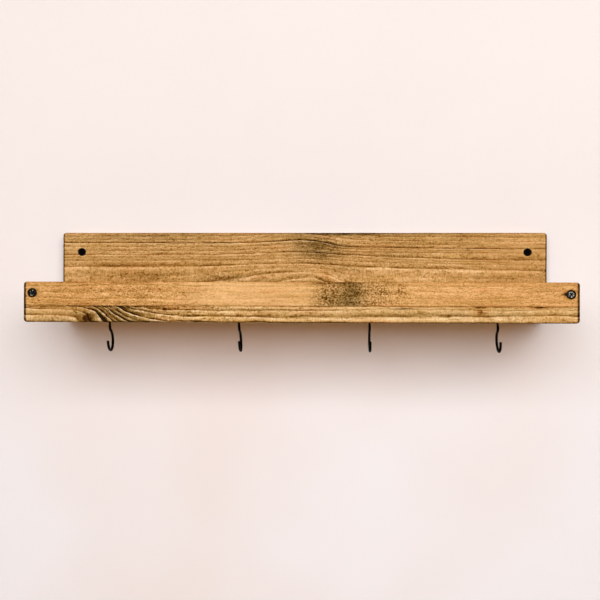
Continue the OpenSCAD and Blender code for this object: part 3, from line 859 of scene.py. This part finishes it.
# A triangle with a flat crest carried along a helix, whose height runs out at both ends. Points (radius,
# height along the screw) turn by 360 degrees for each pitch
def threadRidge(core, outer, pitch, start, end, perTurn=40):
    look = ridgeLook
    turns = (end - start) / pitch
    t = np.linspace(0, 1, int(turns * perTurn))
    angle = 2 * np.pi * turns * t
    height = start + (end - start) * t
    full = smoothStep(t * turns, 0, look["runIn"]) * smoothStep((1 - t) * turns, 0, look["runOut"])
    foot, crest = np.full_like(t, core - look["sunk"]), core + (outer - core) * full
    half = look["foot"] * pitch * (look["thin"] + (1 - look["thin"]) * full)
    flat = look["crest"] * pitch * full
    sections = [(foot, -half), (crest, -flat), (crest, flat), (foot, half)]
    rows = [np.column_stack([radius * np.cos(angle), radius * np.sin(angle), height + rise])
            for radius, rise in sections]
    points = np.stack(rows, axis=1).reshape(-1, 3)
    count, n = len(t), np.arange(len(t) - 1)
    quads = [np.column_stack([(n + 1) * 4 + a, (n + 1) * 4 + (a + 1) % 4, n * 4 + (a + 1) % 4, n * 4 + a])
             for a in range(4)]
    last = 4 * (count - 1)
    return points, np.concatenate(quads).tolist() + [[0, 1, 2, 3], [last + 3, last + 2, last + 1, last]]


# Several closed shells as one piece's points and faces
def joinShells(shells):
    points, faces, offset = [], [], 0
    for shellPoints, shellFaces in shells:
        points.append(shellPoints)
        faces += [[corner + offset for corner in face] for face in shellFaces]
        offset += len(shellPoints)
    return np.concatenate(points), faces


# Shares of a screw: core and pitch of the thread's size, plain part of the reach, recess of the head and of
# its own mouth at the foot, then the recess in mm, and half the thickness of a recess wall in radians
screwLook = {"core": 0.66, "pitch": 0.45, "plain": 0.4, "recess": 0.56, "foot": 0.35,
             "wingWide": 1.1, "recessDeep": 2.2, "wallTurn": 0.012}


# Countersunk screw along +Z, head's top at z = 0. Head and shank are rows of rings from the middle of the
# head to the point. The cross recess follows lines at half a wing's width from the middle: the columns bend
# so that one runs on each side of a wing's wall
def screwShells(size, head, reach):
    look = screwLook
    wing, gap = 5, 8  # columns over a wing and between two wings
    outer, core = size / 2, size / 2 * look["core"]
    plain, plainEnd = (outer + core) / 2, look["plain"] * reach
    mouth, rim = head * look["recess"] / 2, head / 2
    topRadii = np.concatenate([np.linspace(0.12, mouth - 0.03, 15), [mouth + 0.03],
                               np.linspace(mouth + 0.2, rim - 0.12, 6), [rim - 0.03]])
    bevel = [(rim, 0.05), (rim, 0.38)]
    shaft = [(plain + 0.1, 0.4 + rim - plain - 0.1), (plain, 0.55 + rim - plain), (plain, plainEnd),
             (core, plainEnd + 0.6), (core, reach - 1.4 * size), (0.55 * core, reach - 0.6 * size),
             (0.03, reach)]
    radii = np.concatenate([topRadii, [r for r, _ in bevel + shaft]])
    heights = np.concatenate([np.where(topRadii > rim - 0.1, 0.015, 0.0), [z for _, z in bevel + shaft]])
    halfWing = look["wingWide"] / 2
    half = np.arcsin(np.clip(halfWing / radii, 0, np.sin(np.pi / 4 - 0.06)))[:, None]
    slot = np.linspace(-1, 1, wing)[None, :] * (half - look["wallTurn"])
    wall = half + look["wallTurn"]
    between = wall + np.linspace(0, 1, gap)[None, :] * (np.pi / 2 - 2 * wall)
    quarter = np.concatenate([slot, between], axis=1)
    angle = np.concatenate([quarter + n * np.pi / 2 for n in range(4)], axis=1)
    inWing = np.tile(np.concatenate([np.ones(wing), np.zeros(gap)]), 4)[None, :] > 0
    onTop = (np.arange(len(radii)) < len(topRadii))[:, None]
    middle = (halfWing * 1.15 > radii)[:, None]
    taper = np.clip((mouth - radii) / (mouth * (1 - look["foot"])), 0, 1)[:, None] * look["recessDeep"]
    depth = np.where((inWing | middle) & onTop, taper, 0)
    rings = [radii[:, None] * np.cos(angle), radii[:, None] * np.sin(angle), heights[:, None] + depth]
    points = np.stack(rings, axis=2).reshape(-1, 3)
    points = np.concatenate([[[0, 0, look["recessDeep"] + 0.15]], points, [[0, 0, reach]]])
    faces = [face[::-1] for face in roundFaces(*angle.shape)]
    # Points in the cross recess and on the head's rim get painted shade
    dark = (depth > 0.12) | (radii > 0.82 * rim)[:, None]
    recessShadeMask = np.concatenate([[1], dark.astype(float).ravel(), [1]])
    thread = threadRidge(core, outer, look["pitch"] * size, plainEnd + 0.4, reach - 0.9 * size)
    return [(points, faces), thread], recessShadeMask


# Turns points about Z, lays +Z along the direction and moves them to a place
def placed(points, turnDeg, direction, place):
    spin = np.array(Matrix.Rotation(np.radians(turnDeg), 3, "Z"))
    lay = np.array(Vector((0, 0, 1)).rotation_difference(Vector(direction)).to_matrix())
    return points @ (lay @ spin).T + np.array(place)


def makeScrew(node, kind, slot, material, direction, turnDeg):
    low, high = nodeBox(node)
    axis = int(np.argmax(np.abs(direction)))
    place = (low + high) / 2
    place[axis] = faceAt((low, high), axis, -direction[axis])
    shells, recessShadeMask = screwShells(screwKinds[kind]["size"], screwKinds[kind]["head"], high[axis] - low[axis])
    points, faces = joinShells(shells)
    points = placed(points, turnDeg, direction, place)
    piece = makePiece(node + "_turned", points, faces, material, node, sharpDeg=30)
    putAttribute(piece.data, "recessShadeMask", np.concatenate([recessShadeMask, np.zeros(len(points) - len(recessShadeMask))]))


def dressScrews():
    names = ("black_oxide_steel", "rubbed_steel", "zinc_plated_steel")
    oxide, rubbed, zinc = [makeMetal(name) for name in names]
    inwards, outwards, upwards = (0, 1, 0), (0, -1, 0), (0, 0, 1)
    rows = [("wall_screw_left", "wall", "wall_screw_steel", oxide, inwards, 15),
            ("wall_screw_right", "wall", "wall_screw_steel", oxide, inwards, 62),
            ("lip_screw_left", "lip", "lip_screw_steel", rubbed, inwards, 35),
            ("lip_screw_right", "lip", "lip_screw_steel", rubbed, inwards, 50)]
    for n in (1, 2, 3, 4):
        rows.append((f"board_screw_{n}", "join", "zinc_steel", zinc, outwards, 25 + 70 * (n - 1)))
    for name, side in zip(bothSides, (-1, 1)):
        rows.append((f"rail_screw_{name}", "join", "zinc_steel", zinc, outwards, 20 * side))
        rows.append((f"base_screw_{name}", "join", "zinc_steel", zinc, upwards, 35 * side))
    for row in rows:
        makeScrew(*row)


dressScrews()
print("screws dressed")


# Centreline of a hook below the board in its own plane: straight shank, neck arc back towards the wall,
# round bowl that comes forward and up, and a short straight end. Places (back, up) and wire radii
def hookLine(look):
    neck, bowl, shank, bare = [look[part] for part in ("neckRadius", "bowlRadius", "shank", "bare")]
    bite, wire, core = [look[part] for part in ("bite", "wire", "core")]
    turn = np.arccos(neck / (bowl + neck))
    bowlUp = -shank - np.sqrt((bowl + neck) ** 2 - neck**2)
    ends = np.radians(90 + look["pastLowDeg"])
    neckAngle = np.pi + np.linspace(0, turn, 12)[1:]
    bowlAngle = np.linspace(turn, -ends, 54)[1:]
    ups = [bite, bite - 0.5 * look["point"], bite - look["point"], 4, 0, -bare, -bare - 0.5, -shank]
    straight = np.column_stack([np.zeros(len(ups)), ups])
    neckPart = np.column_stack([neck + neck * np.cos(neckAngle), -shank + neck * np.sin(neckAngle)])
    bowlPart = np.column_stack([bowl * np.cos(bowlAngle), bowlUp + bowl * np.sin(bowlAngle)])
    heading = np.array([-np.sin(ends), -np.cos(ends)])  # clockwise along the bowl at its end
    tipPart = bowlPart[-1] + np.outer([0.3, 0.62, look["tip"]], heading)
    places = np.concatenate([straight, neckPart, bowlPart, tipPart])
    threaded = [0.05, 0.6 * core, core, core, core, core]
    full = [wire] * (2 + len(neckPart) + len(bowlPart))
    radii = np.array([*threaded, *full, 0.97 * wire, 0.84 * wire, look["tipShare"] * wire])
    return places, radii


# Hook: the wire is a circle carried along its centreline, plus a thread ridge round the screwed part
def hookShells(look, columns=28):
    places, radii = hookLine(look)
    along = np.gradient(places, axis=0)
    along /= np.linalg.norm(along, axis=1)[:, None]
    side = np.column_stack([-along[:, 1], along[:, 0]])
    angle = 2 * np.pi * np.arange(columns) / columns
    outX, inPlane = radii[:, None] * np.cos(angle), radii[:, None] * np.sin(angle)
    rings = [outX, places[:, 0:1] + side[:, 0:1] * inPlane, places[:, 1:2] + side[:, 1:2] * inPlane]
    first = [0, places[0, 0], places[0, 1] + 0.04]
    last = [0, *(places[-1] + 0.05 * along[-1])]
    points = np.concatenate([[first], np.stack(rings, axis=2).reshape(-1, 3), [last]])
    thread = threadRidge(look["core"], look["thread"], look["pitch"], 0.1 - look["bare"], look["bite"] - 3.4)
    return [(points, roundFaces(len(radii), columns)), thread]


def dressHooks(look):
    enamel = makeMetal("black_enamelled_wire")
    for n, (x, leanDeg) in enumerate(zip(look["places"], look["leansDeg"]), start=1):
        points, faces = joinShells(hookShells(look))
        lean = np.array(Matrix.Rotation(np.radians(-leanDeg), 3, "Y"))
        points = points @ lean.T + np.array([x, look["y"], look["z"]])
        piece = makePiece(f"hook_{n}_wire", points, faces, enamel, f"hook_{n}", sharpDeg=40)
        putAttribute(piece.data, "recessShadeMask", np.zeros(len(points)))


dressHooks(hookLook)
print("hooks dressed")


# Studio: a painted wall with the shelf on it, a pale floor, one large soft light in front and above, and a
# smaller one behind for the back
studioLook = {
    "wall": "#f8efed", "wallLow": "#f8f5f9", "wallShade": "#f5ebea", "wallLowers": limits(0.1, -0.25),
    "wallDrifts": limits(0.42, 0.75), "driftPerMetre": 3.2, "bumpsPerMetre": 130.0, "bumpMm": 0.4,
    "bumpStrength": 0.12, "wallWide": 2400, "wallTop": 1700, "cutMargin": 1.7,
    "floor": "#e2bf92", "floorSeen": "#f4f0ea", "floorShown": 0.85, "floorZ": -1800, "floorWide": 2600,
    "fill": "#ffe0c2", "fillAbove": 0.31, "fillBelow": 0.02, "lightTint": "#fafdff",
    "lights": {  # place and size in mm, aim, and watts
        "softbox": ((190, -2600, 770), (2900, 1500), (0, -60, -40), 80),
        "backbox": ((-300, 1900, 700), (1600, 1200), (0, 0, -40), 26),
    },
}


# Wall: a sheet with a square hole that the back board covers, so that the board's back can be seen and
# lit. To camera rays from behind the sheet isn't there
def makeWall(look):
    low, high = nodeBox("back_board")
    margin = look["cutMargin"]
    xs = np.array([-look["wallWide"], low[0] + margin, high[0] - margin, look["wallWide"]])
    zs = np.array([look["floorZ"], low[2] + margin, high[2] - margin, look["wallTop"]])
    points = np.array([[x, 0, z] for z in zs for x in xs])
    corners = np.array([0, 1, 5, 4])
    faces = [(4 * row + column + corners).tolist()
             for row in range(3) for column in range(3) if (row, column) != (1, 1)]
    material, add = newMaterial("painted_plaster")
    place = add("TexCoord").outputs["Object"]
    drift = add("TexNoise", {"Vector": place, "Scale": look["driftPerMetre"], "Detail": 2.0})
    fine = add("TexNoise", {"Vector": place, "Scale": look["bumpsPerMetre"], "Detail": 3.0})
    height = add("SeparateXYZ", {0: place}).outputs[2]
    colour = linear(look["wall"])
    # Towards the bottom the paint turns cooler: a painted tint that offsets the floor's warm bounce light low
    # on the wall
    for source, reach, code in ((height, "wallLowers", "wallLow"), (drift, "wallDrifts", "wallShade")):
        share = add("MapRange", {"Value": source, **look[reach]})
        mixed = add("Mix", {mixFactor: share, mixA: colour, mixB: linear(look[code])}, data_type="RGBA")
        colour = mixed.outputs[mixResult]
    bump = add("Bump", {"Strength": look["bumpStrength"], "Distance": look["bumpMm"] * mm, "Height": fine})
    paint = add("BsdfPrincipled", {"Base Color": colour, "Roughness": 0.85, "Normal": bump,
                                   "Specular IOR Level": 0.03})
    ray = add("LightPath").outputs["Is Camera Ray"]
    backside = add("NewGeometry").outputs["Backfacing"]
    behind = add("Math", {0: ray, 1: backside}, operation="MULTIPLY")
    shown = add("MixShader", {0: behind, 1: paint, 2: add("BsdfTransparent")})
    add("OutputMaterial", {0: shown})
    meshObject("wall", points, faces, material)


# Floor: bounces a warm light up, and looks paler than that to the camera
def makeFloor(look):
    wide, z = look["floorWide"], look["floorZ"]
    points = np.array([[-wide, -wide, z], [wide, -wide, z], [wide, wide, z], [-wide, wide, z]])
    material, add = newMaterial("pale_floor")
    paint = add("BsdfPrincipled", {"Base Color": linear(look["floor"]), "Roughness": 0.8})
    glow = add("Emission", {"Color": linear(look["floorSeen"]), "Strength": 1.0})
    ray = add("LightPath").outputs["Is Camera Ray"]
    share = add("Math", {0: ray, 1: look["floorShown"]}, operation="MULTIPLY")
    shown = add("MixShader", {0: share, 1: paint, 2: glow})
    add("OutputMaterial", {0: shown})
    meshObject("floor", points, [[0, 1, 2, 3]], material)


def makeLights(look):
    for name, (place, size, aim, watts) in look["lights"].items():
        data = bpy.data.lights.new(name, "AREA")
        data.shape = "RECTANGLE"
        data.size, data.size_y = np.array(size) * mm
        data.energy = watts
        data.color = linear(look["lightTint"])[:3]
        light = newObject(name, data)
        light.location = Vector(place) * mm
        light.rotation_euler = (Vector(aim) - Vector(place)).to_track_quat("-Z", "Y").to_euler()
        light.visible_camera = False


# Fill light from all round, less from below; the camera, mirrors and glass see plain white
def makeWorld(look):
    world = bpy.data.worlds.new("studio")
    bpy.context.scene.world = world
    world.use_nodes = True
    world.node_tree.nodes.clear()
    add = partial(addNode, world.node_tree)
    rays = add("LightPath")
    seen = rays.outputs["Is Camera Ray"]
    for kind in ("Is Glossy Ray", "Is Transmission Ray"):
        seen = add("Math", {0: seen, 1: rays.outputs[kind]}, operation="MAXIMUM").outputs[0]
    height = add("SeparateXYZ", {0: add("TexCoord").outputs["Generated"]}).outputs[2]
    fill = add("MapRange", {"Value": height, **limits(0.0, 0.5, look["fillBelow"], look["fillAbove"])})
    strength = add("MapRange", {"Value": seen, "To Min": fill, "To Max": 1.0})
    colour = add("Mix", {mixFactor: seen, mixA: linear(look["fill"]), mixB: (1, 1, 1, 1)}, data_type="RGBA")
    back = add("Background", {"Color": colour.outputs[mixResult], "Strength": strength})
    add("OutputWorld", {0: back})


makeWall(studioLook)
makeFloor(studioLook)
makeLights(studioLook)
makeWorld(studioLook)
bpy.context.scene.view_settings.view_transform = "Standard"
print("studio set")
